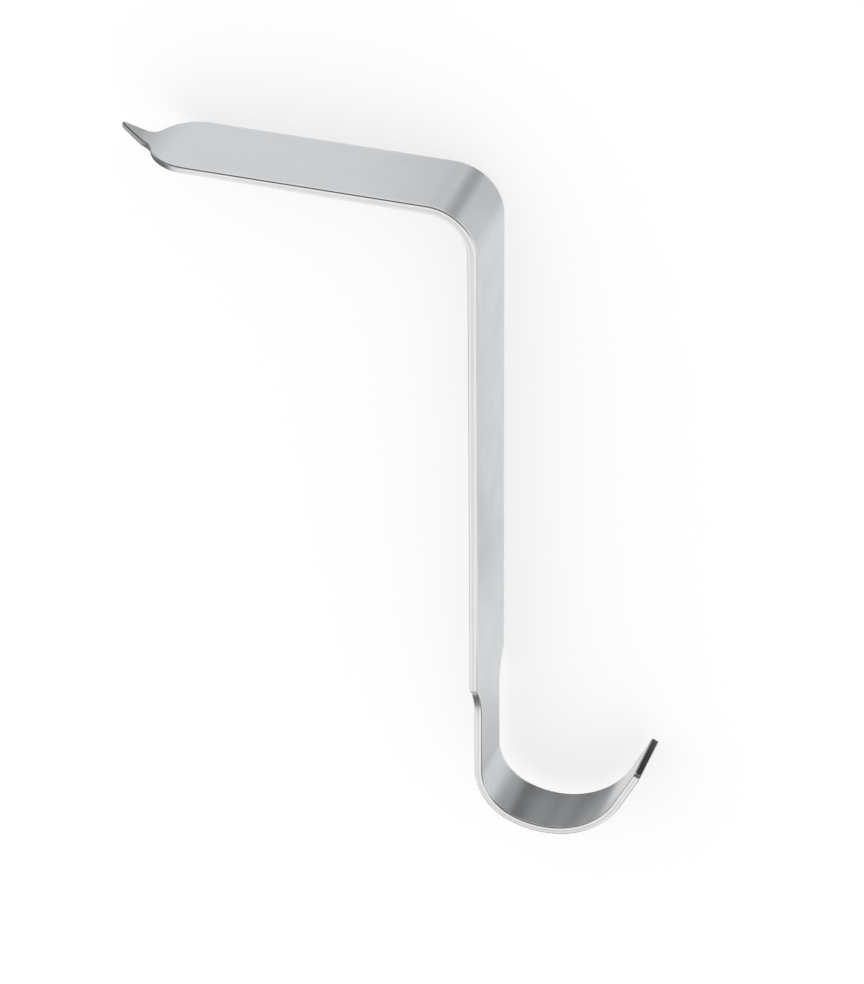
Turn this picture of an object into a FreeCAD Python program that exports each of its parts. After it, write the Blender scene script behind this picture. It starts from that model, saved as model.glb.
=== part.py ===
"""Handheld surgical retractor: one strip of stainless steel, bent and shaped from end to end.

The strip lies on one of its long edges, as it comes to rest on a table. X runs from the bill
at the blade's end towards the hook, Y up the shank towards the blade, and Z up from the table,
across the strip's width. The origin is the middle of the footprint's box, on the table.
Sizes are in millimetres.
"""

import FreeCAD
import Part
import math
import os

# Strip: one width from the blade to the shoulders, thickest at the bend
strip_width = 24.0
bend_thickness = 2.6
blade_end_thickness = 1.8
hook_thickness = 2.1
edge_radius = 0.45

# Blade: from the line of the shank's front face to the root of the bill
blade_length = 89.7
blade_end_angle = 65.0
bend_radius = 13.3

# Bill: the small pointed beak at the blade's end, turned up out of the blade's face
bill_length = 8.4
bill_root_width = 6.8
bill_root_radius = 4.2
bill_point_radius = 0.6
bill_point_thickness = 1.4
bill_rise_angle = 27.5
bill_turn_radius = 6.5
bill_turn_offset = 1.7

# Shank: from the line of the blade's face down to the shoulders, then the neck to the hook
shank_length = 145.0
shoulder_depth = 4.0
shoulder_angle = 38.0
shoulder_break_radius = 1.0
shoulder_straight = 0.65
neck_length = 22.8

# Hook: a tight throat, a wider bowl and a straight tail, which flares towards its squared end
throat_radius = 13.4
throat_angle = 69.5
bowl_radius = 22.3
bowl_angle = 82.6
tail_length = 12.3
tail_flare = 1.35
tail_corner_radius = 1.2

# Cutting shapes reach this far past the faces that they cut
overshoot = 2.0


def heading(angle):
    """Unit vector in the plane of the profile, its angle in degrees from +X towards +Y."""
    turn = math.radians(angle)
    return FreeCAD.Vector(math.cos(turn), math.sin(turn), 0)


def right_of(direction):
    """Unit vector to the right of a direction of travel in the plane of the profile."""
    return FreeCAD.Vector(direction.y, -direction.x, 0)


def tangent_length(radius, angle):
    """Distance from a corner to the start of an arc that turns by the angle, in degrees."""
    return radius * math.tan(math.radians(angle) / 2)


def meeting_point(first, second):
    """Point where two lines of the profile cross, each given by two of its points."""
    along = first[1] - first[0]
    across = right_of(second[1] - second[0])
    return first[0] + along * ((second[0] - first[0]).dot(across) / along.dot(across))


def add_lines(edges, *points):
    """Add straight edges from point to point, leaving out any that has no length."""
    for start, end in zip(points, points[1:]):
        if start.distanceToPoint(end) > 1e-6:
            edges.append(Part.LineSegment(start, end).toShape())


def rounded_path(points, radii):
    """Edges along the points, with a tangent arc of its own radius at each inner point."""
    edges = []
    start = points[0]
    for before, corner, after, radius in zip(points, points[1:], points[2:], radii):
        arrive = (corner - before).normalize()
        leave = (after - corner).normalize()
        turn = arrive.getAngle(leave)
        arc_start = corner - arrive * radius * math.tan(turn / 2)
        arc_end = corner + leave * radius * math.tan(turn / 2)
        arc_middle = corner + (leave - arrive).normalize() * radius * (1 / math.cos(turn / 2) - 1)
        add_lines(edges, start, arc_start)
        edges.append(Part.Arc(arc_start, arc_middle, arc_end).toShape())
        start = arc_end
    add_lines(edges, start, points[-1])
    return edges


def loop_face(edges):
    """Flat face inside a closed loop of edges."""
    return Part.Face(Part.Wire(Part.__sortEdges__(edges)))


def shoulder_foot():
    """Height at which the slope of a shoulder would reach the side of the neck."""
    return -shank_length - shoulder_depth / math.tan(math.radians(shoulder_angle))


def front_corners():
    """Corners of the strip's front face: bill, blade, bend, throat, bowl and tail."""
    bill_corner = FreeCAD.Vector(-blade_length - bill_turn_offset, 0, 0)
    bill_reach = bill_length - bill_turn_offset + overshoot
    bill_run = bill_reach / math.cos(math.radians(bill_rise_angle))
    bill_point = bill_corner + heading(180 - bill_rise_angle) * bill_run
    throat_reach = tangent_length(throat_radius, throat_angle)
    bowl_reach = tangent_length(bowl_radius, bowl_angle)
    throat_corner = FreeCAD.Vector(0, shoulder_foot() - neck_length - throat_reach, 0)
    bowl_corner = throat_corner + heading(throat_angle - 90) * (throat_reach + bowl_reach)
    tail_end = bowl_corner + heading(throat_angle + bowl_angle - 90) * (bowl_reach + tail_length)
    return [bill_point, bill_corner, FreeCAD.Vector(0, 0, 0), throat_corner, bowl_corner, tail_end]


def back_corners(front):
    """The same corners on the strip's back face, one thickness behind its front face."""
    thicknesses = [bill_point_thickness, blade_end_thickness, bend_thickness]
    thicknesses += [hook_thickness] * 3
    lines = []
    for start, end, start_depth, end_depth in zip(front, front[1:], thicknesses, thicknesses[1:]):
        side = right_of((end - start).normalize())
        lines.append((start + side * start_depth, end + side * end_depth))
    corners = [meeting_point(first, second) for first, second in zip(lines, lines[1:])]
    return [lines[0][0]] + corners + [lines[-1][1]]


def strip_profile():
    """Side view of the bent strip, as one flat face between its front and back lines."""
    front = front_corners()
    back = back_corners(front)
    front_radii = [bill_turn_radius, bend_radius, throat_radius, bowl_radius]
    back_depths = [blade_end_thickness, -bend_thickness, hook_thickness, hook_thickness]
    back_radii = [radius + depth for radius, depth in zip(front_radii, back_depths)]
    edges = rounded_path(front, front_radii) + rounded_path(back, back_radii)
    add_lines(edges, front[0], back[0])
    add_lines(edges, front[-1], back[-1])
    return loop_face(edges)


def plan_outline(length):
    """Outline of the strip seen from above its blade: bill, rounded end and straight sides.

    Each side of the blade's end is a slope, from the long edge to the root of the bill. A hollow
    arc at the root and a full arc at the long edge share the slope's whole length between them.
    """
    half_width = strip_width / 2
    half_root = bill_root_width / 2
    end_angle = math.radians(blade_end_angle)
    end_x = -blade_length
    corner_x = end_x + (half_width - half_root) / math.tan(end_angle)
    centre_reach = bill_length - bill_point_radius
    taper = math.atan2(half_root, centre_reach)
    taper -= math.asin(bill_point_radius / math.hypot(half_root, centre_reach))
    point_x = end_x - centre_reach - bill_point_radius / math.sin(taper)
    slope = (half_width - half_root) / math.sin(end_angle)
    root_reach = tangent_length(bill_root_radius, blade_end_angle - math.degrees(taper))
    end_radius = (slope - root_reach) / math.tan(end_angle / 2)
    side = [(length, half_width), (corner_x, half_width), (end_x, half_root)]
    plan = side + [(point_x, 0)] + [(x, -across) for x, across in reversed(side)]
    points = [FreeCAD.Vector(x, 0, strip_width / 2 + across) for x, across in plan]
    radii = [end_radius, bill_root_radius]
    edges = rounded_path(points, radii + [bill_point_radius] + radii[::-1])
    add_lines(edges, points[0], points[-1])
    return loop_face(edges)


def flare_start():
    """Half the throat's reach in front of the neck, where the strip starts to grow wider."""
    return throat_radius * (1 - math.cos(math.radians(throat_angle))) / 2


def shoulder_waste(bottom):
    """Waste beside the neck, on the table's side: a broken corner, a slope and a hollow.

    The slope is straight for a little way below the broken corner, and the hollow takes the rest.
    """
    break_reach = tangent_length(shoulder_break_radius, shoulder_angle)
    slope = shoulder_depth / math.sin(math.radians(shoulder_angle))
    hollow_reach = slope - break_reach - shoulder_straight
    hollow_radius = hollow_reach / math.tan(math.radians(shoulder_angle) / 2)
    start = -shank_length + break_reach
    path = [(start, 0), (-shank_length, 0), (shoulder_foot(), shoulder_depth)]
    start_x = -bend_thickness - overshoot
    points = [FreeCAD.Vector(start_x, y, z) for y, z in path + [(bottom, shoulder_depth)]]
    edges = rounded_path(points, [shoulder_break_radius, hollow_radius])
    start_below = FreeCAD.Vector(start_x, start, -overshoot)
    end_below = FreeCAD.Vector(start_x, bottom, -overshoot)
    add_lines(edges, points[0], start_below, end_below, points[-1])
    return loop_face(edges).extrude(FreeCAD.Vector(flare_start() - start_x, 0, 0))


def hook_waste(bottom, end_x):
    """Waste beside the hook, on the table's side: one long arc, tangent to the neck's side."""
    start_x = flare_start()
    reach = end_x - start_x
    radius = (reach ** 2 + tail_flare ** 2) / (2 * tail_flare)
    middle_drop = radius - math.sqrt(radius ** 2 - reach ** 2 / 4)
    start = FreeCAD.Vector(start_x, bottom, shoulder_depth)
    middle = FreeCAD.Vector(start_x + reach / 2, bottom, shoulder_depth - middle_drop)
    end = FreeCAD.Vector(end_x, bottom, shoulder_depth - tail_flare)
    start_below = FreeCAD.Vector(start_x, bottom, -overshoot)
    end_below = FreeCAD.Vector(end_x, bottom, -overshoot)
    edges = [Part.Arc(start, middle, end).toShape()]
    add_lines(edges, start, start_below, end_below, end)
    return loop_face(edges).extrude(FreeCAD.Vector(0, -bottom, 0))


def square_strip():
    """The whole strip with its outline cut, before its edges are eased."""
    profile = strip_profile()
    box = profile.BoundBox
    bottom = box.YMin - overshoot
    end_x = box.XMax + overshoot
    profile.translate(FreeCAD.Vector(0, 0, -overshoot))
    wide_strip = profile.extrude(FreeCAD.Vector(0, 0, strip_width + 2 * overshoot))
    plan = plan_outline(end_x)
    plan.translate(FreeCAD.Vector(0, bottom, 0))
    strip = wide_strip.common(plan.extrude(FreeCAD.Vector(0, box.YMax + overshoot - bottom, 0)))
    wastes = [shoulder_waste(bottom), hook_waste(bottom, end_x)]
    middle = FreeCAD.Vector(0, 0, strip_width / 2)
    wastes += [waste.mirror(middle, FreeCAD.Vector(0, 0, 1)) for waste in wastes]
    return strip.cut(wastes).removeSplitter()


def tail_corner_edges(strip):
    """The two short edges at the corners of the hook's squared end."""
    tail_end = front_corners()[-1]
    tail_heading = heading(throat_angle + bowl_angle - 90)
    found = []
    for edge in strip.Edges:
        ends = [vertex.Point for vertex in edge.Vertexes]
        on_end = all(abs((point - tail_end).dot(tail_heading)) < 1e-3 for point in ends)
        if on_end and abs(ends[0].z - ends[-1].z) < edge.Length / 2:
            found.append(edge)
    return found


def sharp_edges(strip):
    """Edges where two faces meet at a corner, and not smoothly."""
    found = []
    for edge in strip.Edges:
        middle = edge.valueAt((edge.FirstParameter + edge.LastParameter) / 2)
        normals = []
        for face in strip.ancestorsOfType(edge, Part.Face):
            normals.append(face.normalAt(*face.Surface.parameter(middle)))
        if len(normals) == 2 and normals[0].getAngle(normals[1]) > math.radians(30):
            found.append(edge)
    return found


def retractor():
    """The finished strip, with its edges eased and its origin under its middle."""
    strip = square_strip()
    strip = strip.makeFillet(tail_corner_radius, tail_corner_edges(strip))
    thinnest = min(bill_point_thickness, blade_end_thickness, hook_thickness)
    easing = min(edge_radius, 0.4 * thinnest, 0.9 * bill_point_radius)
    strip = strip.makeFillet(easing, sharp_edges(strip))
    box = strip.optimalBoundingBox(False)
    strip.translate(FreeCAD.Vector(-box.Center.x, -box.Center.y, -box.ZMin))
    return strip


os.makedirs("parts", exist_ok=True)
retractor().exportStep("parts/retractor.step")
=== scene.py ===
import math

import bpy
import numpy as np
from mathutils import Matrix, Vector


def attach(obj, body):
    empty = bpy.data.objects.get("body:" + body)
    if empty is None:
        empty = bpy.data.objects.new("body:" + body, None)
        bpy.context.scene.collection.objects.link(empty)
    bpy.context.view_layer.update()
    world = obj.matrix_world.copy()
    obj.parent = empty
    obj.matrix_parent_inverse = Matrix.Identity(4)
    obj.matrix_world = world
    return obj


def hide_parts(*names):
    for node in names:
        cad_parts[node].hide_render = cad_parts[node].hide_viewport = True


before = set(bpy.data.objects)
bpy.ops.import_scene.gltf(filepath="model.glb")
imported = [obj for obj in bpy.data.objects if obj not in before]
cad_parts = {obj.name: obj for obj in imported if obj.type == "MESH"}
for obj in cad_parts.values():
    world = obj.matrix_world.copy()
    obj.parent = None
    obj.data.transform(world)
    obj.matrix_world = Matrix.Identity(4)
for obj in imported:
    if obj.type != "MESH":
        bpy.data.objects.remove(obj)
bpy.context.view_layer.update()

bl_info = {
    "name": "Handheld Surgical Retractor",
    "version": (1, 0, 0),
    "blender": (4, 5, 0),
    "location": "3D View > Sidebar > Retractor",
    "description": "A strip retractor of satin stainless steel, lying on one edge in a studio",
    "category": "Object",
}

NODE_NAME = "retractor"

# Fineness of the strip's surface: samples of each straight run or arc of its side view, steps of
# each arc and of the tail's corners in its outline, the rows' greatest spacing in metres, and the
# faces across the strip and across an eased edge.
RUN_SAMPLES = 65
ARC_STEPS = 14
TAIL_STEPS = 10
ROW_SPACING = 0.0006
COLUMNS = 16
EDGE_STEPS = 5
# The bill, its turn and the blade are the side view's first runs, whose distance is level.
LEVEL_RUNS = 3
# Rows closer than this, in metres, are one row.
SAME_PLACE = 1e-7
# The side rows stop this many times the tail corner's reach before the tail's end.
CORNER_ROOM = 1.02

# Distances along the strip, in metres, over which the bill's darker tone fades out and wear fades
# in.
DIMMER_BILL_FADE = (-0.0965, -0.0820)
WEAR_START = (-0.084, -0.070)

# Tones that gloss finds in the studio: straight up, to the left at the horizon, and behind.
UPPER_TONE = (1.0, 1.0, 0.985, 1.0)
LEFT_TONE = (0.32, 0.32, 0.33, 1.0)
FAR_TONE = (0.12, 0.12, 0.13, 1.0)

# Dark cards below the floor, in metres: name, low corner, high corner, depth, tone, soft edge.
LOW_CARDS = (
    ("card_by_hook", (-0.115, -0.03), (0.185, 0.170), 0.25, 0.04, 0.045),
    ("card_by_tail", (-0.20, -0.182), (-0.038, 0.105), 0.26, 0.12, 0.03),
    ("card_by_end", (0.067, -0.060), (0.18, 0.05), 0.03, 0.0, 0.012),
    ("card_by_bend", (0.050, 0.235), (0.275, 0.42), 0.40, 0.12, 0.06),
    ("card_before_bend", (-0.024, 0.09), (0.030, 0.17), 0.05, 0.83, 0.020),
    ("card_by_throat", (0.055, -0.085), (0.12, -0.03), 0.05, 0.40, 0.02),
    ("card_by_neck", (0.045, -0.215), (0.095, -0.150), 0.12, 0.45, 0.02),
)
# Upright dark cards, in metres: name, centre, level side's way, width, height, tone, soft edge.
UPRIGHT_CARDS = (
    ("card_beside_neck", (0.107, -0.18, 0.06), (0.0, 1.0, 0.0), 0.18, 0.10, 0.05, 0.03),
    ("card_by_shoulder", (0.01, -0.16, 0.035), (1.0, 0.0, 0.0), 0.10, 0.10, 0.12, 0.02),
    ("card_by_bill", (-0.075, 0.067, 0.007), (0.0, 1.0, 0.0), 0.042, 0.066, 0.17, 0.003),
)

# Way from the part to the soft box, and the lamp's top.
BOX_WAY = Vector((-0.25, -0.54, 0.80))
LAMP_TOP = Vector((0.0, 1.0, 0.2))
# Camera, in metres: the place it stands off from, the way to it, its picture's right and top, and
# how far left and below that place it aims.
SUBJECT = Vector((0.027211, 0.007923, 0.011638))
CAMERA_WAY = Vector((0.2496, 0.5426, 0.8020))
PICTURE_RIGHT = Vector((0.9548, 0.0, -0.2972))
PICTURE_TOP = Vector((-0.1613, 0.8400, -0.5181))
AIM_LEFT = 0.015276
AIM_BELOW = 0.004465


def length(name, description, default):
    """A size in metres, shown in the scene's own units."""
    return bpy.props.FloatProperty(
        name=name, description=description, default=default, min=0.0, precision=5,
        subtype="DISTANCE", unit="LENGTH",
    )


def angle(name, description, degrees):
    """An angle, given in degrees and kept in radians."""
    return bpy.props.FloatProperty(
        name=name, description=description, default=math.radians(degrees),
        subtype="ANGLE", unit="ROTATION",
    )


def share(name, description, default):
    """A plain number between nothing and one."""
    return bpy.props.FloatProperty(
        name=name, description=description, default=default, min=0.0, max=1.0, subtype="FACTOR",
    )


def colour(name, description, default):
    """A colour in linear light."""
    return bpy.props.FloatVectorProperty(
        name=name, description=description, default=default, size=3, min=0.0, max=1.0,
        subtype="COLOR",
    )


class RetractorSizes(bpy.types.PropertyGroup):
    """Sizes of the bent strip, from the bill at the blade's end to the hook's tail."""

    strip_width: length("Strip width", "Width of the blade and shank", 0.024)
    bend_thickness: length("Bend thickness", "Thickness at the bend, the thickest place", 0.0026)
    blade_end_thickness: length("Blade end thickness", "Thickness where the bill turns up", 0.0018)
    hook_thickness: length("Hook thickness", "Thickness from the throat to the tail", 0.0021)
    edge_radius: length("Edge radius", "Radius of every eased edge", 0.00045)
    blade_length: length("Blade length", "From the shank's front face to the bill's root", 0.0897)
    blade_end_angle: angle("Blade end angle", "Slope of each side of the blade's end", 65.0)
    bend_radius: length("Bend radius", "Outside radius between blade and shank", 0.0133)
    bill_length: length("Bill length", "From the bill's root to its point", 0.0084)
    bill_root_width: length("Bill root width", "Width of the bill at its root", 0.0068)
    bill_root_radius: length("Bill root radius", "Hollow beside the bill's root", 0.0042)
    bill_point_radius: length("Bill point radius", "Rounding of the bill's point", 0.0006)
    bill_point_thickness: length("Bill point thickness", "Thickness at the point", 0.0014)
    bill_rise_angle: angle("Bill rise angle", "Angle that the bill rises by", 27.5)
    bill_turn_radius: length("Bill turn radius", "Radius of the bill's upward turn", 0.0065)
    bill_turn_offset: length("Bill turn offset", "From the bill's root to its turn", 0.0017)
    shank_length: length("Shank length", "From the blade's face to the shoulders", 0.145)
    shoulder_depth: length("Shoulder depth", "How far each side steps in", 0.004)
    shoulder_angle: angle("Shoulder angle", "Slope of a shoulder", 38.0)
    shoulder_break_radius: length("Shoulder break radius", "Rounding of the shoulder", 0.001)
    shoulder_straight: length("Shoulder straight", "Straight part of the slope", 0.00065)
    neck_length: length("Neck length", "From the foot of the shoulder to the throat", 0.0228)
    throat_radius: length("Throat radius", "Inside radius of the hook's first bend", 0.0134)
    throat_angle: angle("Throat angle", "How far the throat turns", 69.5)
    bowl_radius: length("Bowl radius", "Inside radius of the hook's wide bend", 0.0223)
    bowl_angle: angle("Bowl angle", "How far the bowl turns", 82.6)
    tail_length: length("Tail length", "Straight end of the hook", 0.0123)
    tail_flare: length("Tail flare", "How much wider each side grows along the hook", 0.00135)
    tail_corner_radius: length("Tail corner radius", "Rounding of the tail's corners", 0.0012)
    overshoot: length("Overshoot", "How far past the tail the flare's arc is drawn", 0.002)


class SteelFinish(bpy.types.PropertyGroup):
    """Colours and textures of the satin steel."""

    face_colour: colour("Face colour", "Colour that the satin faces reflect", (0.640, 0.660, 0.675))
    # The dull colour serves the dull patches and brushed lines, and also the painted shade in the
    # bends.
    dull_and_bend_shade_colour: colour("Dull colour", "Colour in duller patches", (0.560, 0.575, 0.590))
    worn_colour: colour("Worn colour", "Colour of rubbed edges", (0.745, 0.745, 0.740))
    # A darker colour drawn on the bill and the blade's end.
    dimmer_bill_colour: colour("Forged colour", "Colour of the forged bill", (0.400, 0.410, 0.420))
    face_roughness: share("Face roughness", "Roughness of the satin faces", 0.30)
    worn_roughness: share("Worn roughness", "Roughness of rubbed edges", 0.24)
    grain_contrast: share("Grain contrast", "Dull colour in the brushed lines", 0.32)
    patch_contrast: share("Patch contrast", "Dull colour in the uneven patches", 0.2)
    # Painted shade: where the strip bends, its colour is darkened towards the dull colour.
    bend_painted_shade: share("Bend contrast", "Dull colour where the strip is bent", 0.25)
    scratch_contrast: share("Scratch contrast", "Strength of the hair scratches", 0.12)
    grain_roughness: share("Grain roughness", "Roughness added in the brushed lines", 0.05)
    patch_roughness: share("Patch roughness", "Roughness added in the patches", 0.03)
    wear_width: length("Wear width", "Width of the rubbed band along an edge", 0.0005)
    grain_depth: length("Grain depth", "Depth of the brushed lines", 0.000012)
    relief: share("Relief", "Strength of the lines' and scratches' relief", 0.35)
    pit_depth: share("Pit depth", "Depth of fine pits, as a share of the lines'", 0.5)
    scratch_depth: share("Scratch depth", "Depth of scratches, as a share of the lines'", 0.12)


class StudioSettings(bpy.types.PropertyGroup):
    """Floor, light and camera."""

    floor_size: length("Floor size", "Side of the square floor", 6.0)
    floor_colour: colour("Floor colour", "Colour of the matt floor", (0.9, 0.9, 0.9))
    shadow_share: share("Shadow share", "How much of the shadow the floor keeps", 0.35)
    soft_box_distance: length("Soft box distance", "From the part to the soft box", 1.2)
    soft_box_size: length("Soft box size", "Side of the square soft box", 0.9)
    soft_box_power: bpy.props.FloatProperty(
        name="Soft box power", description="Light of the soft box", default=0.35, unit="POWER")
    plain_light: bpy.props.FloatProperty(
        name="Plain light", description="Strength of the plain light from all round", default=1.12,
        min=0.0)
    camera_distance: length("Camera distance", "From the camera to the part", 1.8174)
    camera_lens: bpy.props.FloatProperty(
        name="Camera lens", description="Focal length on a 36 mm sensor", default=258.19,
        subtype="DISTANCE_CAMERA", unit="CAMERA",
    )


def path_pieces(points, radii):
    """Straight runs and tangent arcs along the points, an arc at each inner point.

    A piece is (start, heading, turn, length). An arc of radius r turns by the angle between the
    runs before and after its corner, and starts r * tan(turn / 2) before the corner.
    """
    points = [np.array(point, float) for point in points]
    pieces = []
    start = points[0]
    for before, corner, after, radius in zip(points, points[1:], points[2:], radii):
        arrive, leave = corner - before, after - corner
        heading = math.atan2(arrive[1], arrive[0])
        turn = math.atan2(arrive[0] * leave[1] - arrive[1] * leave[0], arrive @ leave)
        reach = radius * math.tan(abs(turn) / 2)
        arc_start = corner - reach * arrive / np.linalg.norm(arrive)
        pieces.append((start, heading, 0.0, np.linalg.norm(arc_start - start)))
        pieces.append((arc_start, heading, turn, radius * abs(turn)))
        start = corner + reach * leave / np.linalg.norm(leave)
    last = points[-1] - points[-2]
    pieces.append((start, math.atan2(last[1], last[0]), 0.0, np.linalg.norm(points[-1] - start)))
    return pieces


def points_along(piece, fractions):
    """Points and headings at fractions of a piece.

    After a share t of length L with turn a, the chord from the start points a t / 2 away from the
    first heading, and is L t sin(a t / 2) / (a t / 2) long.
    """
    start, heading, turn, reach = piece
    half = turn * fractions / 2
    chord = reach * fractions * np.sinc(half / np.pi)
    ahead = np.stack([np.cos(heading + half), np.sin(heading + half)], axis=-1)
    return start + chord[:, None] * ahead, heading + turn * fractions


def direction(heading):
    """Unit vectors along headings."""
    return np.stack([np.cos(heading), np.sin(heading)], axis=-1)


def meeting_point(first, second):
    """Point where two lines cross, each given by two of its points."""
    along = first[1] - first[0]
    other = second[1] - second[0]
    across = np.array([other[1], -other[0]])
    return first[0] + along * ((second[0] - first[0]) @ across) / (along @ across)


def front_corners(s):
    """Corners of the strip's front line: bill, blade, bend, throat, bowl and tail."""
    rise = math.pi - s.bill_rise_angle
    bill_corner = np.array([-s.blade_length - s.bill_turn_offset, 0.0])
    bill_reach = s.bill_length - s.bill_turn_offset + s.overshoot
    bill_point = bill_corner + direction(rise) * bill_reach / math.cos(s.bill_rise_angle)
    throat_reach = s.throat_radius * math.tan(s.throat_angle / 2)
    bowl_reach = s.bowl_radius * math.tan(s.bowl_angle / 2)
    foot = s.shank_length + s.shoulder_depth / math.tan(s.shoulder_angle)
    throat_corner = np.array([0.0, -foot - s.neck_length - throat_reach])
    between = direction(s.throat_angle - math.pi / 2)
    bowl_corner = throat_corner + between * (throat_reach + bowl_reach)
    last = s.throat_angle + s.bowl_angle - math.pi / 2
    tail_end = bowl_corner + direction(last) * (bowl_reach + s.tail_length)
    return [bill_point, bill_corner, np.zeros(2), throat_corner, bowl_corner, tail_end]


def back_corners(s, front):
    """The same corners one thickness behind the front line."""
    depths = [s.bill_point_thickness, s.blade_end_thickness, s.bend_thickness]
    depths += [s.hook_thickness] * 3
    lines = []
    for start, end, start_depth, end_depth in zip(front, front[1:], depths, depths[1:]):
        run = (end - start) / np.linalg.norm(end - start)
        side = np.array([run[1], -run[0]])
        lines.append((start + side * start_depth, end + side * end_depth))
    corners = [meeting_point(first, second) for first, second in zip(lines, lines[1:])]
    return [lines[0][0]] + corners + [lines[-1][1]]


def strip_lines(s):
    """Table of the strip's side view: distance, front and back points, and their headings.

    Front and back are the same runs and arcs, paired at equal shares of each. From the bill to the
    bend they are paired straight below each other, and there the distance is measured level.
    """
    shares = np.linspace(0, 1, RUN_SAMPLES)
    front_radii = [s.bill_turn_radius, s.bend_radius, s.throat_radius, s.bowl_radius]
    depths = [s.blade_end_thickness, -s.bend_thickness, s.hook_thickness, s.hook_thickness]
    back_radii = [radius + depth for radius, depth in zip(front_radii, depths)]
    corners = front_corners(s)
    sides = []
    for points, radii in ((corners, front_radii), (back_corners(s, corners), back_radii)):
        samples = [points_along(piece, shares) for piece in path_pieces(points, radii)]
        sides.append([np.concatenate(column) for column in zip(*samples)])
    (front, front_heading), (back, back_heading) = sides
    level = LEVEL_RUNS * RUN_SAMPLES
    blade_back, blade_heading = back[:level].copy(), back_heading[:level].copy()
    back[:level, 0] = front[:level, 0]
    back[:level, 1] = np.interp(front[:level, 0], blade_back[:, 0], blade_back[:, 1])
    back_heading[:level] = np.interp(front[:level, 0], blade_back[:, 0], blade_heading)
    steps = np.linalg.norm(np.diff(front, axis=0), axis=1)
    steps[: level - 1] = np.diff(front[:level, 0])
    distance = front[0, 0] + np.concatenate([[0.0], np.cumsum(steps)])
    return distance, front, back, front_heading, back_heading


def outline(s, lines, spacing):
    """One half of the strip's flat outline, as distance, half width and heading of its rows.

    It runs from the bill's point, round the blade's end and along the long edge, over the shoulder,
    and along the neck. The bend ends at (pi / 2 - 1) times its radius, because distance is nothing
    at the blade's and shank's corner. Beside the hook the half width grows as an arc over the
    hook's reach forward, and the tail ends in a rounded corner.
    """
    distance, front, back = lines[:3]
    half_width, half_root = s.strip_width / 2, s.bill_root_width / 2
    half_neck = half_width - s.shoulder_depth
    end = -s.blade_length
    corner = end + (half_width - half_root) / math.tan(s.blade_end_angle)
    centre_reach = s.bill_length - s.bill_point_radius
    taper = math.atan2(half_root, centre_reach)
    taper -= math.asin(s.bill_point_radius / math.hypot(half_root, centre_reach))
    slope = (half_width - half_root) / math.sin(s.blade_end_angle)
    root_reach = s.bill_root_radius * math.tan((s.blade_end_angle - taper) / 2)
    end_radius = (slope - root_reach) / math.tan(s.blade_end_angle / 2)
    bend_end = (math.pi / 2 - 1) * s.bend_radius
    shoulder = bend_end + s.shank_length - s.bend_radius
    foot = shoulder + s.shoulder_depth / math.tan(s.shoulder_angle)
    break_reach = s.shoulder_break_radius * math.tan(s.shoulder_angle / 2)
    hollow_reach = s.shoulder_depth / math.sin(s.shoulder_angle) - break_reach - s.shoulder_straight
    hollow_radius = hollow_reach / math.tan(s.shoulder_angle / 2)

    point_turn = math.pi / 2 - taper
    point_start = np.array([end - s.bill_length, 0.0])
    point = (point_start, math.pi / 2, -point_turn, s.bill_point_radius * point_turn)
    flare_x = s.throat_radius * (1 - math.cos(s.throat_angle)) / 2
    in_hook = distance > foot + s.neck_length / 2
    flare_start = np.interp(flare_x, front[in_hook, 0], distance[in_hook])
    taper_start = points_along(point, np.ones(1))[0][0]
    corners = [taper_start, (end, half_root), (corner, half_width), (shoulder, half_width)]
    corners += [(foot, half_neck), (flare_start, half_neck)]
    radii = [s.bill_root_radius, end_radius, s.shoulder_break_radius, hollow_radius]
    pieces = [point] + path_pieces(corners, radii)

    reach = max(front[:, 0].max(), back[:, 0].max()) + s.overshoot - flare_x
    flare_radius = (reach ** 2 + s.tail_flare ** 2) / (2 * s.tail_flare)
    side_end = distance[-1]
    count = math.ceil((side_end - flare_start) / spacing)
    side = np.linspace(flare_start, side_end, count)
    forward = np.interp(side, distance, front[:, 0]) - flare_x
    flared = half_neck + flare_radius - np.sqrt(flare_radius ** 2 - forward ** 2)
    side_heading = np.arctan(np.gradient(flared, side))
    tail_turn = math.pi / 2 + side_heading[-1]
    tail_reach = s.tail_corner_radius * math.tan(tail_turn / 2)
    kept = side < side_end - tail_reach * CORNER_ROOM
    tail_start = np.array([side_end, flared[-1]]) - tail_reach * direction(side_heading[-1])
    tail = (tail_start, side_heading[-1], -tail_turn, s.tail_corner_radius * tail_turn)

    rows = []
    for piece in pieces:
        turn, reach = piece[2:]
        steps = ARC_STEPS if turn else max(1, math.ceil(reach / spacing))
        rows.append(points_along(piece, np.linspace(0, 1, steps + 1)))
    rows.append((np.stack([side, flared], axis=-1)[kept], side_heading[kept]))
    rows.append(points_along(tail, np.linspace(0, 1, TAIL_STEPS + 1)))
    places = np.concatenate([row[0] for row in rows])
    headings = np.concatenate([row[1] for row in rows])
    apart = np.linalg.norm(np.diff(places, axis=0), axis=1) > SAME_PLACE
    fresh = np.concatenate([[True], apart])
    return places[fresh], headings[fresh]


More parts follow.
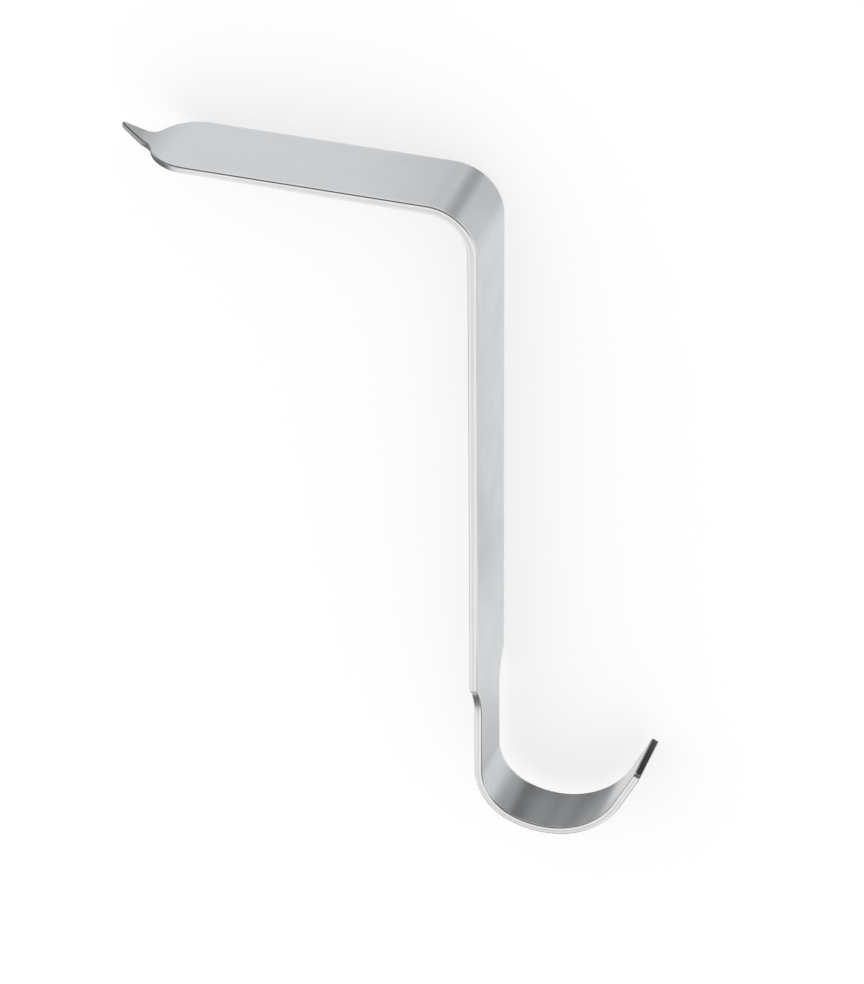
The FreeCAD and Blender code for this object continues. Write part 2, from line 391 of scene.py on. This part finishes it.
def strip_surface(s):
    """Vertices, normals, faces and surface values of the whole strip.

    The front and back are grids: each row runs straight across between the two mirrored halves of
    the outline, drawn in by the edge radius. Round them goes a rim: a quarter circle of the edge
    radius, a straight wall with a ring half way, and a quarter circle again. A flat point
    (distance, across, depth) lies at front + depth * (unit vector from front to back), across the
    strip along Z. The surface values are the flat points, the distance to the nearest edge, and
    how sharply the strip bends, as a share of the throat's curve.
    """
    lines = strip_lines(s)
    distance, front, back, front_heading, back_heading = lines
    places, headings = outline(s, lines, ROW_SPACING)
    out = direction(headings + math.pi / 2)
    inner = places - s.edge_radius * out
    inner[0, 1] = 0.0
    rows = len(inner)
    share_across = np.linspace(-1, 1, COLUMNS + 1)

    grid_flat = np.stack(np.broadcast_arrays(
        inner[1:, :1], inner[1:, 1:] * share_across[None, :]), axis=-1).reshape(-1, 2)
    grid_flat = np.concatenate([inner[:1], grid_flat])
    grid = 1 + np.arange((rows - 1) * (COLUMNS + 1)).reshape(rows - 1, COLUMNS + 1)

    upper = np.concatenate([[0], grid[:, -1]])
    end_row = grid[-1, -2:0:-1]
    lower = grid[::-1, 0]
    loop = np.concatenate([upper, end_row, lower])
    mirrored = out[:0:-1] * [1, -1]
    loop_out = np.concatenate([out, np.tile([1.0, 0.0], (len(end_row), 1)), mirrored])
    loop_out[0] = (-1.0, 0.0)
    loop_flat = grid_flat[loop]

    turn = np.linspace(0, math.pi / 2, EDGE_STEPS + 1)
    facing_out = np.concatenate([np.sin(turn), [1.0], np.sin(turn[::-1])])
    facing_face = np.concatenate([np.cos(turn), [0.0], np.cos(turn[::-1])])
    stand_out = facing_out * s.edge_radius
    sunk = np.concatenate([1 - np.cos(turn), [0.0], np.cos(turn[::-1]) - 1]) * s.edge_radius
    at_back = np.repeat([0.0, 0.5, 1.0], [EDGE_STEPS + 1, 1, EDGE_STEPS + 1])
    rings = 2 * EDGE_STEPS + 1
    inner_rings = slice(1, rings + 1)

    def solid(flat, depth, from_back):
        """Flat points in space, their depths, and the front's and back's headings there.

        The depth is counted from the front, the back or between them, by the share from_back.
        """
        at = [np.stack([np.interp(flat[:, 0], distance, column) for column in table.T], axis=-1)
              for table in (front, back)]
        gap = at[1] - at[0]
        thick = np.linalg.norm(gap, axis=1)
        deep = from_back * thick + depth
        xy = at[0] + gap * (deep / thick)[:, None]
        ahead = np.interp(flat[:, 0], distance, front_heading)
        behind = np.interp(flat[:, 0], distance, back_heading)
        return np.column_stack([xy, flat[:, 1]]), deep, ahead, behind

    zero = np.zeros(len(grid_flat))
    front_at, front_deep, ahead, behind = solid(grid_flat, zero, zero)
    back_at, back_deep, ahead, behind = solid(grid_flat, zero, zero + 1)
    front_normal = np.column_stack([direction(ahead + math.pi / 2), zero])
    back_normal = np.column_stack([direction(behind - math.pi / 2), zero])

    ring_flat = loop_flat[None] + stand_out[inner_rings, None, None] * loop_out[None]
    ring_flat = ring_flat.reshape(-1, 2)
    size = len(loop)
    depth = np.repeat(sunk[inner_rings], size)
    from_back = np.repeat(at_back[inner_rings], size)
    rim_at, rim_deep, ahead, behind = solid(ring_flat, depth, from_back)
    face_heading = np.where(from_back > 0.5, behind - math.pi / 2, ahead + math.pi / 2)
    out_all = np.tile(loop_out, (rings, 1))
    sideways = np.column_stack([direction(ahead) * out_all[:, :1], out_all[:, 1]])
    facing = np.column_stack([direction(face_heading), np.zeros(len(face_heading))])
    rim_normal = sideways * np.repeat(facing_out[inner_rings], size)[:, None]
    rim_normal += facing * np.repeat(facing_face[inner_rings], size)[:, None]

    count = len(grid_flat)
    front_faces = np.stack([grid[:-1, :-1], grid[:-1, 1:], grid[1:, 1:], grid[1:, :-1]], axis=-1)
    front_faces = front_faces.reshape(-1, 4)
    fan = np.stack([np.zeros(COLUMNS, int), grid[0, 1:], grid[0, :-1]], axis=-1)
    ring_index = 2 * count + np.arange(rings * size).reshape(rings, size)
    ring_index = np.concatenate([loop[None], ring_index, loop[None] + count])
    after = np.roll(ring_index, -1, axis=1)
    rim = np.stack([ring_index[:-1], ring_index[1:], after[1:], after[:-1]], axis=-1)
    faces = np.concatenate([front_faces, front_faces[:, ::-1] + count, rim.reshape(-1, 4)])
    fans = np.concatenate([fan, fan[:, ::-1] + count])

    points = np.concatenate([front_at, back_at, rim_at])
    normals = np.concatenate([front_normal, back_normal, rim_normal])
    normals /= np.linalg.norm(normals, axis=1)[:, None]
    flats = np.concatenate([grid_flat, grid_flat, ring_flat])
    deeps = np.concatenate([front_deep, back_deep, rim_deep])

    row_out = np.abs(out[1:, 1:])
    to_side = inner[1:, 1:] * (1 - np.abs(share_across[None, :])) * row_out
    to_tail = (inner[-1, 0] - inner[1:, :1]) + 0 * to_side
    face_edge = np.concatenate([[0.0], np.minimum(to_side, to_tail).ravel()])
    rim_edge = np.where(from_back == 0.5, rim_deep - s.edge_radius, 0.0)
    edge = np.concatenate([face_edge, face_edge, rim_edge])
    # Where two runs meet there are two samples at one distance, so a tiny slope is added.
    rising = distance + np.arange(len(distance)) * 1e-9
    bending = np.abs(np.gradient(front_heading, rising))
    bending = np.clip(np.interp(flats[:, 0], distance, bending) * s.throat_radius, 0, 1)
    return points, normals, faces, fans, np.column_stack([flats, deeps]), edge, bending


def mesh_volume(points, triangles):
    """Signed volume inside triangles: a sixth of the sum of a . (b x c)."""
    a, b, c = (points[triangles[:, i]] for i in range(3))
    return float(np.einsum("ij,ij->i", a, np.cross(b, c)).sum() / 6)


def add_value(mesh, name, kind, values):
    """Stores one value per vertex under a name that materials can read."""
    layer = mesh.attributes.new(name, kind, "POINT")
    field = "vector" if kind == "FLOAT_VECTOR" else "value"
    layer.data.foreach_set(field, np.ascontiguousarray(values, dtype=np.float32).ravel())


def build_strip(s):
    """Makes the strip's mesh object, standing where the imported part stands."""
    points, normals, faces, fans, flats, edge, bending = strip_surface(s)
    triangles = np.concatenate([faces[:, [0, 1, 2]], faces[:, [0, 2, 3]], fans])
    if mesh_volume(points, triangles) < 0:
        faces, fans = faces[:, ::-1], fans[:, ::-1]
    lowest, highest = points.min(axis=0), points.max(axis=0)
    middle = (lowest + highest) / 2
    points = points - [middle[0], middle[1], lowest[2]]
    mesh = bpy.data.meshes.new("bent_strip")
    mesh.from_pydata(points.tolist(), [], faces.tolist() + fans.tolist())
    mesh.update()
    add_value(mesh, "strip", "FLOAT_VECTOR", flats)
    add_value(mesh, "edge_distance", "FLOAT", edge)
    add_value(mesh, "bending", "FLOAT", bending)
    mesh.shade_smooth()
    mesh.normals_split_custom_set_from_vertices(normals.tolist())
    strip = bpy.data.objects.new("bent_strip", mesh)
    bpy.context.collection.objects.link(strip)
    return strip


class NodeBoard:
    """Short calls to place and join the nodes of one node tree."""

    def __init__(self, tree):
        self.tree = tree
        tree.nodes.clear()

    def add(self, kind, inputs=None, **settings):
        """Adds a node, sets its own settings, and joins or sets its inputs by name or number."""
        node = self.tree.nodes.new(kind)
        for name, value in settings.items():
            setattr(node, name, value)
        for key, value in (inputs or {}).items():
            self.feed(node.inputs[key], value)
        return node

    def feed(self, socket, value):
        """Joins a socket to another one, or sets its value."""
        if isinstance(value, bpy.types.NodeSocket):
            self.tree.links.new(value, socket)
        else:
            socket.default_value = value

    def math(self, operation, first, second=0.0, third=0.0, clamp=False):
        """Result of a Math node."""
        node = self.add("ShaderNodeMath", {0: first, 1: second, 2: third}, operation=operation,
                        use_clamp=clamp)
        return node.outputs[0]

    def blend(self, factor, first, second, kind="RGBA"):
        """Result of a Mix node between two colours, or two numbers."""
        node = self.add("ShaderNodeMix", data_type=kind, clamp_factor=True)
        first_socket, second_socket = (6, 7) if kind == "RGBA" else (2, 3)
        self.feed(node.inputs[0], factor)
        self.feed(node.inputs[first_socket], first)
        self.feed(node.inputs[second_socket], second)
        return node.outputs[2 if kind == "RGBA" else 0]

    def ramp(self, value, low, high):
        """Smooth step from nothing at low to one at high."""
        node = self.add("ShaderNodeMapRange", {"Value": value, "From Min": low, "From Max": high},
                        interpolation_type="SMOOTHSTEP")
        return node.outputs[0]

    def fall(self, value, low, high):
        """Smooth step from one at low to nothing at high."""
        return self.math("SUBTRACT", 1.0, self.ramp(value, low, high))

    def product(self, first, *others):
        """Product of two or more numbers."""
        for other in others:
            first = self.math("MULTIPLY", first, other)
        return first

    def noise(self, vector, scale, detail=2.0, roughness=0.5, distortion=0.0):
        """Result of a Noise Texture."""
        node = self.add("ShaderNodeTexNoise", {
            "Vector": vector, "Scale": scale, "Detail": detail, "Roughness": roughness,
            "Distortion": distortion})
        return node.outputs[0]

    def stretched(self, vector, along, across):
        """A strip vector scaled by one amount along the strip and another across it."""
        scale = self.add("ShaderNodeCombineXYZ", {0: along, 1: across, 2: across}).outputs[0]
        node = self.add("ShaderNodeVectorMath", {0: vector, 1: scale}, operation="MULTIPLY")
        return node.outputs[0]


def new_group(name, inputs, outputs):
    """An empty node group with named inputs and outputs, and the board to fill it."""
    group = bpy.data.node_groups.new(name, "ShaderNodeTree")
    board = NodeBoard(group)
    for socket_name, kind, default in inputs:
        socket = group.interface.new_socket(socket_name, in_out="INPUT", socket_type=kind)
        if default is not None:
            socket.default_value = default
    for socket_name, kind in outputs:
        group.interface.new_socket(socket_name, in_out="OUTPUT", socket_type=kind)
    return group, board, board.add("NodeGroupInput").outputs, board.add("NodeGroupOutput").inputs


def satin_grain_group():
    """Brushed lines along the strip, with uneven patches: a mask of each and a height.

    The lines are two stretched noises, one finer than the other, and the patches are a third.
    """
    fine_scale, fine_share = 3.1, 0.45
    line_step, patch_step = (0.36, 0.64), (0.32, 0.68)
    group, board, given, result = new_group(
        "Satin Grain",
        [("Vector", "NodeSocketVector", None), ("Line Width", "NodeSocketFloat", 0.0003),
         ("Line Length", "NodeSocketFloat", 0.05), ("Patch Size", "NodeSocketFloat", 0.012)],
        [("Lines", "NodeSocketFloat"), ("Patches", "NodeSocketFloat"),
         ("Height", "NodeSocketFloat")])
    across = board.math("DIVIDE", 1.0, given["Line Width"])
    along = board.math("DIVIDE", 1.0, given["Line Length"])
    stretched = board.stretched(given["Vector"], along, across)
    coarse = board.noise(stretched, 1.0, detail=3.0, roughness=0.6)
    fine = board.noise(stretched, fine_scale, detail=2.0, roughness=0.6)
    lines = board.math("MULTIPLY_ADD", fine, fine_share,
                       board.math("MULTIPLY", coarse, 1.0 - fine_share))
    patch_scale = board.math("DIVIDE", 1.0, given["Patch Size"])
    patches = board.noise(given["Vector"], patch_scale, detail=4.0, roughness=0.55, distortion=0.3)
    board.feed(result["Lines"], board.ramp(lines, *line_step))
    board.feed(result["Patches"], board.ramp(patches, *patch_step))
    board.feed(result["Height"], lines)
    return group


def hairline_group():
    """Sparse hair scratches: thin ridges of stretched noise, shown only in scattered patches.

    A ridge runs where the noise is a half, its middle value.
    """
    flatness, spread_scale, spread_step = 0.12, 0.35, (0.52, 0.66)
    group, board, given, result = new_group(
        "Hairline Scratches",
        [("Vector", "NodeSocketVector", None), ("Turn", "NodeSocketFloat", 0.3),
         ("Spacing", "NodeSocketFloat", 0.004), ("Thinness", "NodeSocketFloat", 0.02)],
        [("Scratches", "NodeSocketFloat")])
    turned = board.add("ShaderNodeVectorRotate",
                       {"Vector": given["Vector"], "Angle": given["Turn"]},
                       rotation_type="Z_AXIS").outputs[0]
    across = board.math("DIVIDE", 1.0, given["Spacing"])
    stretched = board.stretched(turned, board.product(across, flatness), across)
    field = board.noise(stretched, 1.0, detail=1.0, roughness=0.4, distortion=0.4)
    ridge = board.math("ABSOLUTE", board.math("SUBTRACT", field, 0.5))
    thin = board.fall(ridge, 0.0, given["Thinness"])
    spread = board.noise(given["Vector"], board.product(across, spread_scale), detail=2.0)
    board.feed(result["Scratches"], board.product(thin, board.ramp(spread, *spread_step)))
    return group


def edge_wear_group():
    """Mask of rubbed metal near an edge: full at the edge, and ragged where it fades out.

    It fades out over the width times 0.2 to 1.8, as a fine noise goes from nothing to one.
    """
    ragged_scale, least_reach, ragged_reach = 420.0, 0.2, 1.6
    group, board, given, result = new_group(
        "Edge Wear",
        [("Vector", "NodeSocketVector", None), ("Distance", "NodeSocketFloat", 0.0),
         ("Width", "NodeSocketFloat", 0.0007)],
        [("Wear", "NodeSocketFloat")])
    ragged = board.noise(given["Vector"], ragged_scale, detail=4.0, roughness=0.65)
    reach = board.math("MULTIPLY_ADD", ragged, ragged_reach, least_reach)
    reach = board.product(given["Width"], reach)
    board.feed(result["Wear"], board.fall(given["Distance"], 0.0, reach))
    return group


def place_group(board, group, inputs):
    """A copy of a node group in a material, with its own values."""
    node = board.add("ShaderNodeGroup")
    node.node_tree = group
    for name, value in inputs.items():
        board.feed(node.inputs[name], value)
    return node.outputs


def steel_material(f):
    """Satin stainless steel: brushed lines, dull patches, painted shade in bends, hair scratches,
    rubbed edges.

    The hair scratches are two sets, each with its own turn and spacing. The bill and the blade's
    end are darker, and their edges aren't rubbed.
    """
    scratch_sets = ((0.35, 0.0045), (-0.6, 0.0062))
    pit_scale = 2600.0
    smoothest = f.face_roughness - f.patch_roughness
    material = bpy.data.materials.new("satin_steel")
    material.use_nodes = True
    board = NodeBoard(material.node_tree)
    strip = board.add("ShaderNodeAttribute", attribute_name="strip").outputs["Vector"]
    edge = board.add("ShaderNodeAttribute", attribute_name="edge_distance").outputs["Fac"]
    bending = board.add("ShaderNodeAttribute", attribute_name="bending").outputs["Fac"]
    grain = place_group(board, satin_grain_group(), {"Vector": strip})
    hair_group = hairline_group()
    hair = [place_group(board, hair_group, {"Vector": strip, "Turn": turn, "Spacing": spacing})[0]
            for turn, spacing in scratch_sets]
    scratches = board.math("MAXIMUM", hair[0], hair[1])
    wear = place_group(board, edge_wear_group(), {
        "Vector": strip, "Distance": edge, "Width": f.wear_width})["Wear"]

    along = board.add("ShaderNodeSeparateXYZ", {0: strip}).outputs["X"]
    # The bill and the blade's end take the darker colour, fading out along the strip.
    dimmer = board.fall(along, *DIMMER_BILL_FADE)
    wear = board.product(wear, board.ramp(along, *WEAR_START))
    dulling_and_bend_shade = board.product(grain["Patches"], f.patch_contrast)
    dulling_and_bend_shade = board.math("MULTIPLY_ADD", grain["Lines"], f.grain_contrast, dulling_and_bend_shade)
    # Painted shade: the sharper the strip bends, the darker its colour is drawn.
    dulling_and_bend_shade = board.math("MULTIPLY_ADD", bending, f.bend_painted_shade, dulling_and_bend_shade, clamp=True)
    tone = board.blend(dulling_and_bend_shade, (*f.face_colour, 1.0), (*f.dull_and_bend_shade_colour, 1.0))
    tone = board.blend(dimmer, tone, (*f.dimmer_bill_colour, 1.0))
    hair_share = board.product(scratches, f.scratch_contrast)
    tone = board.blend(hair_share, tone, (*f.worn_colour, 1.0))
    tone = board.blend(wear, tone, (*f.worn_colour, 1.0))
    rough = board.math("MULTIPLY_ADD", grain["Lines"], f.grain_roughness, smoothest)
    rough = board.math("MULTIPLY_ADD", grain["Patches"], f.patch_roughness, rough)
    rough = board.blend(wear, rough, f.worn_roughness, "FLOAT")

    pits = board.noise(strip, pit_scale, detail=2.0, roughness=0.6)
    height = board.math("MULTIPLY_ADD", pits, f.pit_depth, grain["Height"])
    height = board.math("MULTIPLY_ADD", scratches, -f.scratch_depth, height)
    bump = board.add("ShaderNodeBump", {"Strength": f.relief, "Distance": f.grain_depth,
                                        "Height": height}).outputs[0]
    shader = board.add("ShaderNodeBsdfPrincipled", {
        "Base Color": tone, "Metallic": 1.0, "Roughness": rough, "Normal": bump})
    board.add("ShaderNodeOutputMaterial", {"Surface": shader.outputs[0]})
    return material


def floor_material(t):
    """White floor that keeps a soft shadow, and that gloss looks straight through."""
    material = bpy.data.materials.new("studio_floor")
    material.use_nodes = True
    board = NodeBoard(material.node_tree)
    light = board.add("ShaderNodeLightPath").outputs
    matt = board.add("ShaderNodeBsdfDiffuse", {"Color": (*t.floor_colour, 1.0)}).outputs[0]
    bright = board.add("ShaderNodeEmission", {"Color": (1.0, 1.0, 1.0, 1.0),
                                              "Strength": 1.0}).outputs[0]
    seen = board.add("ShaderNodeMixShader", {0: t.shadow_share, 1: bright, 2: matt}).outputs[0]
    clear = board.add("ShaderNodeBsdfTransparent").outputs[0]
    through = board.math("MAXIMUM", light["Is Glossy Ray"], light["Is Transmission Ray"])
    lit = board.add("ShaderNodeMixShader", {0: light["Is Camera Ray"], 1: matt, 2: seen}).outputs[0]
    final = board.add("ShaderNodeMixShader", {0: through, 1: lit, 2: clear}).outputs[0]
    board.add("ShaderNodeOutputMaterial", {"Surface": final})
    return material


def studio_world(t):
    """White to the camera, plain light to the floor, and a soft studio in the steel's gloss.

    In the gloss the studio is dark towards +Y from a little below the horizon to the top, and
    towards -X from the horizon to half way up. Each dark side is a product of smooth steps along
    the axes of the way looked.
    """
    world = bpy.data.worlds.new("studio")
    bpy.context.scene.world = world
    world.use_nodes = True
    board = NodeBoard(world.node_tree)
    light = board.add("ShaderNodeLightPath").outputs
    plain = board.add("ShaderNodeBackground", {"Color": (1.0, 1.0, 1.0, 1.0),
                                               "Strength": t.plain_light}).outputs[0]
    glossy = board.math("MAXIMUM", light["Is Glossy Ray"], light["Is Transmission Ray"])
    way = board.add("ShaderNodeTexCoord").outputs["Generated"]
    x, y, z = board.add("ShaderNodeSeparateXYZ", {0: way}).outputs
    up = board.ramp(z, 0.38, 0.68)
    far = board.product(board.ramp(y, -0.1, 0.4), board.ramp(z, -0.35, -0.1))
    left = board.product(board.fall(x, -0.85, -0.6), board.ramp(z, -0.2, -0.05),
                         board.fall(z, 0.4, 0.6))
    tone = (1.0, 1.0, 1.0, 1.0)
    for share_of, side_tone in ((up, UPPER_TONE), (left, LEFT_TONE), (far, FAR_TONE)):
        tone = board.blend(board.product(share_of, glossy), tone, side_tone)
    white = board.add("ShaderNodeBackground", {"Color": tone, "Strength": 1.0}).outputs[0]
    seen = board.math("MAXIMUM", light["Is Camera Ray"], glossy)
    final = board.add("ShaderNodeMixShader", {0: seen, 1: plain, 2: white}).outputs[0]
    board.add("ShaderNodeOutputWorld", {"Surface": final})


def flat_panel(name, centre, right, up, width, height):
    """A flat rectangle, its sides along two unit vectors, with its place in its mesh."""
    centre, right, up = (np.array(v, float) for v in (centre, right, up))
    corner = np.array([(-1, -1), (1, -1), (1, 1), (-1, 1)]) / 2
    points = centre + corner[:, :1] * width * right + corner[:, 1:] * height * up
    mesh = bpy.data.meshes.new(name)
    mesh.from_pydata(points.tolist(), [], [(0, 1, 2, 3)])
    panel = bpy.data.objects.new(name, mesh)
    bpy.context.collection.objects.link(panel)
    return panel


def card_material(name, centre, sides, tone, soft):
    """Plain dark tone that fades out over the last soft metres along each of a card's sides.

    Each side is its unit vector and its length. How solid the card is follows how far along that
    vector a point lies from the card's centre.
    """
    material = bpy.data.materials.new(name)
    material.use_nodes = True
    board = NodeBoard(material.node_tree)
    place = board.add("ShaderNodeTexCoord").outputs["Object"]
    offset = board.add("ShaderNodeVectorMath", {0: place, 1: centre}, operation="SUBTRACT")
    shares = []
    for way, side in sides:
        away = board.add("ShaderNodeVectorMath", {0: offset.outputs[0], 1: way},
                         operation="DOT_PRODUCT")
        away = board.math("ABSOLUTE", away.outputs["Value"])
        shares.append(board.fall(away, side / 2 - soft, side / 2))
    clear = board.add("ShaderNodeBsdfTransparent").outputs[0]
    dark = board.add("ShaderNodeEmission", {"Color": (tone, tone, tone, 1.0)}).outputs[0]
    mixed = board.add("ShaderNodeMixShader", {0: board.product(*shares), 1: clear, 2: dark})
    board.add("ShaderNodeOutputMaterial", {"Surface": mixed.outputs[0]})
    return material


def add_card(name, centre, right, up, width, height, tone, soft):
    """A dark card that only gloss sees, as wide and high as given along two unit vectors."""
    card = flat_panel(name, centre, right, up, width, height)
    card.visible_camera = False
    card.visible_diffuse = False
    card.visible_shadow = False
    sides = ((right, width), (up, height))
    card.data.materials.append(card_material(name, centre, sides, tone, soft))


def add_cards():
    """The dark cards that give the steel its darker bands and edges."""
    along_x, along_y, along_z = (1.0, 0.0, 0.0), (0.0, 1.0, 0.0), (0.0, 0.0, 1.0)
    for name, low, high, depth, tone, soft in LOW_CARDS:
        centre = ((low[0] + high[0]) / 2, (low[1] + high[1]) / 2, -depth)
        add_card(name, centre, along_x, along_y, high[0] - low[0], high[1] - low[1], tone, soft)
    for name, centre, right, width, height, tone, soft in UPRIGHT_CARDS:
        add_card(name, centre, right, along_z, width, height, tone, soft)


def looking_matrix(place, aim, up):
    """Matrix of a camera or lamp at a place, facing a point, its top towards up."""
    backward = (place - aim).normalized()
    right = up.cross(backward).normalized()
    top = backward.cross(right)
    matrix = Matrix((right, top, backward)).transposed().to_4x4()
    matrix.translation = place
    return matrix


def add_soft_box(t):
    """A square soft box that faces the part."""
    data = bpy.data.lights.new("soft_box", "AREA")
    data.shape = "SQUARE"
    data.size = t.soft_box_size
    data.energy = t.soft_box_power
    lamp = bpy.data.objects.new("soft_box", data)
    bpy.context.collection.objects.link(lamp)
    place = BOX_WAY * t.soft_box_distance
    lamp.matrix_world = looking_matrix(place, Vector((0.0, 0.0, 0.0)), LAMP_TOP)


def add_camera(t):
    """The camera at the photograph's angle, aimed so that the part has the photograph's place."""
    data = bpy.data.cameras.new("camera")
    data.lens = t.camera_lens
    data.sensor_width = 36.0
    data.clip_end = 20.0
    camera = bpy.data.objects.new("camera", data)
    bpy.context.collection.objects.link(camera)
    place = SUBJECT + CAMERA_WAY.normalized() * t.camera_distance
    aim = SUBJECT - PICTURE_RIGHT * AIM_LEFT - PICTURE_TOP * AIM_BELOW
    camera.matrix_world = looking_matrix(place, aim, PICTURE_TOP)
    bpy.context.scene.camera = camera


class RETRACTOR_OT_stage(bpy.types.Operator):
    """Lays the floor and sets the light, the world and the camera"""

    bl_idname = "retractor.stage"
    bl_label = "Stage"

    def execute(self, context):
        t = context.scene.studio_settings
        floor = flat_panel("floor", (0, 0, 0), (1, 0, 0), (0, 1, 0), t.floor_size, t.floor_size)
        floor.data.materials.append(floor_material(t))
        studio_world(t)
        add_cards()
        add_soft_box(t)
        add_camera(t)
        context.scene.view_settings.view_transform = "Standard"
        return {"FINISHED"}


class RETRACTOR_OT_strip(bpy.types.Operator):
    """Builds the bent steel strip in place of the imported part"""

    bl_idname = "retractor.strip"
    bl_label = "Bent strip"

    def execute(self, context):
        strip = build_strip(context.scene.retractor_sizes)
        strip.data.materials.append(steel_material(context.scene.steel_finish))
        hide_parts(NODE_NAME)
        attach(strip, "root")
        return {"FINISHED"}


class RETRACTOR_PT_panel(bpy.types.Panel):
    """Sizes, finish and studio of the retractor"""

    bl_label = "Retractor"
    bl_space_type = "VIEW_3D"
    bl_region_type = "UI"
    bl_category = "Retractor"

    def draw(self, context):
        layout = self.layout
        scene = context.scene
        for title, group in (("Sizes", scene.retractor_sizes), ("Steel", scene.steel_finish),
                             ("Studio", scene.studio_settings)):
            layout.label(text=title)
            for name in group.__annotations__:
                layout.prop(group, name)
        for operator in (RETRACTOR_OT_stage, RETRACTOR_OT_strip):
            layout.operator(operator.bl_idname)


CLASSES = (RetractorSizes, SteelFinish, StudioSettings, RETRACTOR_OT_stage, RETRACTOR_OT_strip,
           RETRACTOR_PT_panel)


def register():
    """Adds the classes and the scene's settings."""
    for item in CLASSES:
        bpy.utils.register_class(item)
    bpy.types.Scene.retractor_sizes = bpy.props.PointerProperty(type=RetractorSizes)
    bpy.types.Scene.steel_finish = bpy.props.PointerProperty(type=SteelFinish)
    bpy.types.Scene.studio_settings = bpy.props.PointerProperty(type=StudioSettings)


def unregister():
    """Takes the scene's settings and the classes away again."""
    for name in ("retractor_sizes", "steel_finish", "studio_settings"):
        delattr(bpy.types.Scene, name)
    for item in reversed(CLASSES):
        bpy.utils.unregister_class(item)


def main():
    """Builds the stage and the part."""
    register()
    bpy.ops.retractor.stage()
    bpy.ops.retractor.strip()


if __name__ == "__main__":
    main()
